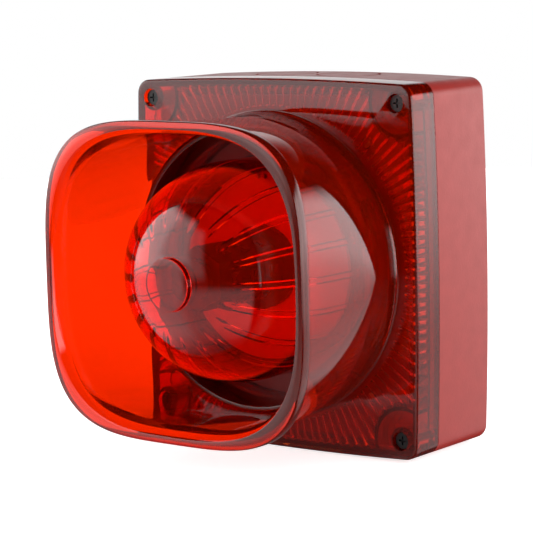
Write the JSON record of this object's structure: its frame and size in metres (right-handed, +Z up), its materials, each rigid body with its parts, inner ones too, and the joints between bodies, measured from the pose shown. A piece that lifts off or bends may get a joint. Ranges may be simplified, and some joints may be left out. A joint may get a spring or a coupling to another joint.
{
  "type": "wall sounder beacon",
  "caption": "Square wall alarm siren in clear red plastic: back box, fluted lift-off cover, rounded-square horn round a ribbed beacon dome, with the sound driver and control board inside.",
  "frame": {"origin": "middle of the back face, in the plane of the wall", "axes": "+Y into the wall, -Y out through the horn, +X to the right seen from the front, +Z up"},
  "size_m": [0.1082, 0.0912, 0.1152],
  "materials": {
    "clear_red": "clear red polycarbonate, polished",
    "box_red": "deep red polycarbonate, smooth",
    "brass": "turned brass",
    "dark_rubber": "matt grey-black silicone",
    "black_plastic": "black moulded plastic",
    "white_board": "white solder mask on a lamp board",
    "nylon": "natural nylon",
    "lamp_chip": "white lamp chip with a yellow phosphor",
    "zinc_steel": "bright zinc plate",
    "ferrite": "sintered ferrite",
    "green_board": "green solder mask",
    "blue_plastic": "blue moulded plastic",
    "cone_film": "pressed polymer film",
    "copper": "enamelled copper winding",
    "black_steel": "black oxide"
  },
  "bodies": {
    "base": {"back_box": "box_red", "box_inserts": "brass", "rear_grommet": "dark_rubber"},
    "head": {"front_cover": "clear_red", "cover_gasket": "dark_rubber", "horn": "clear_red", "horn_seal": "dark_rubber", "throat_ring": "clear_red", "beacon_dome": "clear_red", "dome_seat": "black_plastic", "led_board": "white_board", "led_spacers": "nylon", "led_tower": "black_plastic", "beacon_leds": "lamp_chip", "sound_chassis": "box_red", "chassis_screws": "zinc_steel", "driver_gasket": "dark_rubber", "diaphragm_clamp": "black_plastic", "driver_frame": "black_plastic", "driver_top_plate": "zinc_steel", "driver_magnet": "ferrite", "driver_back_plate": "zinc_steel", "driver_screws": "zinc_steel", "driver_tags": "brass", "main_board": "green_board", "board_screws": "zinc_steel", "led_link_pins": "brass", "capacitors": "blue_plastic", "inductor": "ferrite", "control_chip": "black_plastic", "dip_switch": "blue_plastic", "volume_trimmer": "blue_plastic", "terminal_block": "black_plastic"},
    "diaphragm_unit": {"diaphragm": "cone_film", "voice_coil": "copper"},
    "dip_slider_1": {"dip_slider_1": "nylon"},
    "dip_slider_2": {"dip_slider_2": "nylon"},
    "dip_slider_3": {"dip_slider_3": "nylon"},
    "dip_slider_4": {"dip_slider_4": "nylon"},
    "dip_slider_5": {"dip_slider_5": "nylon"},
    "volume_rotor": {"volume_rotor": "nylon"},
    "terminal_screw_1": {"terminal_screw_1": "zinc_steel"},
    "terminal_screw_2": {"terminal_screw_2": "zinc_steel"},
    "terminal_screw_3": {"terminal_screw_3": "zinc_steel"},
    "terminal_screw_4": {"terminal_screw_4": "zinc_steel"},
    "wire_clamp_1": {"wire_clamp_1": "brass"},
    "wire_clamp_2": {"wire_clamp_2": "brass"},
    "wire_clamp_3": {"wire_clamp_3": "brass"},
    "wire_clamp_4": {"wire_clamp_4": "brass"},
    "screw_seal_1": {"screw_seal_1": "dark_rubber"},
    "screw_seal_2": {"screw_seal_2": "dark_rubber"},
    "screw_seal_3": {"screw_seal_3": "dark_rubber"},
    "screw_seal_4": {"screw_seal_4": "dark_rubber"},
    "cover_screw_1": {"cover_screw_1": "black_steel"},
    "cover_screw_2": {"cover_screw_2": "black_steel"},
    "cover_screw_3": {"cover_screw_3": "black_steel"},
    "cover_screw_4": {"cover_screw_4": "black_steel"}
  },
  "joints": [
    {"name": "head_lift_off", "type": "slide", "parent": "base", "child": "head", "axis": [0, -1, 0], "range_m": [0, 0.05]},
    {"name": "diaphragm_drive", "type": "slide", "parent": "head", "child": "diaphragm_unit", "axis": [0, -1, 0], "range_m": [-0.0003, 0.0003], "stiffness_N_per_m": 2000},
    {"name": "cover_screw_1_rise", "type": "slide", "parent": "head", "child": "screw_seal_1", "axis": [0, -1, 0], "range_m": [0, 0.007]},
    {"name": "cover_screw_1_turn", "type": "hinge", "parent": "screw_seal_1", "child": "cover_screw_1", "pos_m": [-0.0472, -0.0374, 0.0508], "axis": [0, -1, 0], "range_deg": [0, 5045]},
    {"name": "cover_screw_2_rise", "type": "slide", "parent": "head", "child": "screw_seal_2", "axis": [0, -1, 0], "range_m": [0, 0.007]},
    {"name": "cover_screw_2_turn", "type": "hinge", "parent": "screw_seal_2", "child": "cover_screw_2", "pos_m": [0.0472, -0.0374, 0.0508], "axis": [0, -1, 0], "range_deg": [0, 5045]},
    {"name": "cover_screw_3_rise", "type": "slide", "parent": "head", "child": "screw_seal_3", "axis": [0, -1, 0], "range_m": [0, 0.007]},
    {"name": "cover_screw_3_turn", "type": "hinge", "parent": "screw_seal_3", "child": "cover_screw_3", "pos_m": [-0.0472, -0.0374, -0.0508], "axis": [0, -1, 0], "range_deg": [0, 5045]},
    {"name": "cover_screw_4_rise", "type": "slide", "parent": "head", "child": "screw_seal_4", "axis": [0, -1, 0], "range_m": [0, 0.007]},
    {"name": "cover_screw_4_turn", "type": "hinge", "parent": "screw_seal_4", "child": "cover_screw_4", "pos_m": [0.0472, -0.0374, -0.0508], "axis": [0, -1, 0], "range_deg": [0, 5045]},
    {"name": "dip_1_slide", "type": "slide", "parent": "head", "child": "dip_slider_1", "axis": [1, 0, 0], "range_m": [0, 0.0016]},
    {"name": "dip_2_slide", "type": "slide", "parent": "head", "child": "dip_slider_2", "axis": [1, 0, 0], "range_m": [0, 0.0016]},
    {"name": "dip_3_slide", "type": "slide", "parent": "head", "child": "dip_slider_3", "axis": [1, 0, 0], "range_m": [0, 0.0016]},
    {"name": "dip_4_slide", "type": "slide", "parent": "head", "child": "dip_slider_4", "axis": [1, 0, 0], "range_m": [0, 0.0016]},
    {"name": "dip_5_slide", "type": "slide", "parent": "head", "child": "dip_slider_5", "axis": [1, 0, 0], "range_m": [0, 0.0016]},
    {"name": "volume_turn", "type": "hinge", "parent": "head", "child": "volume_rotor", "pos_m": [0.028, -0.016, 0.008], "axis": [0, -1, 0], "range_deg": [0, 270]},
    {"name": "terminal_1_turn", "type": "hinge", "parent": "head", "child": "terminal_screw_1", "pos_m": [-0.0075, -0.0137, -0.0372], "axis": [0, -1, 0], "range_deg": [0, 866]},
    {"name": "terminal_1_clamp", "type": "slide", "parent": "head", "child": "wire_clamp_1", "axis": [0, 1, 0], "range_m": [0, 0.0012]},
    {"name": "terminal_2_turn", "type": "hinge", "parent": "head", "child": "terminal_screw_2", "pos_m": [-0.0025, -0.0137, -0.0372], "axis": [0, -1, 0], "range_deg": [0, 866]},
    {"name": "terminal_2_clamp", "type": "slide", "parent": "head", "child": "wire_clamp_2", "axis": [0, 1, 0], "range_m": [0, 0.0012]},
    {"name": "terminal_3_turn", "type": "hinge", "parent": "head", "child": "terminal_screw_3", "pos_m": [0.0025, -0.0137, -0.0372], "axis": [0, -1, 0], "range_deg": [0, 866]},
    {"name": "terminal_3_clamp", "type": "slide", "parent": "head", "child": "wire_clamp_3", "axis": [0, 1, 0], "range_m": [0, 0.0012]},
    {"name": "terminal_4_turn", "type": "hinge", "parent": "head", "child": "terminal_screw_4", "pos_m": [0.0075, -0.0137, -0.0372], "axis": [0, -1, 0], "range_deg": [0, 866]},
    {"name": "terminal_4_clamp", "type": "slide", "parent": "head", "child": "wire_clamp_4", "axis": [0, 1, 0], "range_m": [0, 0.0012]}
  ],
  "couplings": [
    {"joint": "cover_screw_1_turn", "follows": "cover_screw_1_rise", "rad_per_m": 12566},
    {"joint": "cover_screw_2_turn", "follows": "cover_screw_2_rise", "rad_per_m": 12566},
    {"joint": "cover_screw_3_turn", "follows": "cover_screw_3_rise", "rad_per_m": 12566},
    {"joint": "cover_screw_4_turn", "follows": "cover_screw_4_rise", "rad_per_m": 12566},
    {"joint": "terminal_1_turn", "follows": "terminal_1_clamp", "rad_per_m": 12566},
    {"joint": "terminal_2_turn", "follows": "terminal_2_clamp", "rad_per_m": 12566},
    {"joint": "terminal_3_turn", "follows": "terminal_3_clamp", "rad_per_m": 12566},
    {"joint": "terminal_4_turn", "follows": "terminal_4_clamp", "rad_per_m": 12566}
  ]
}
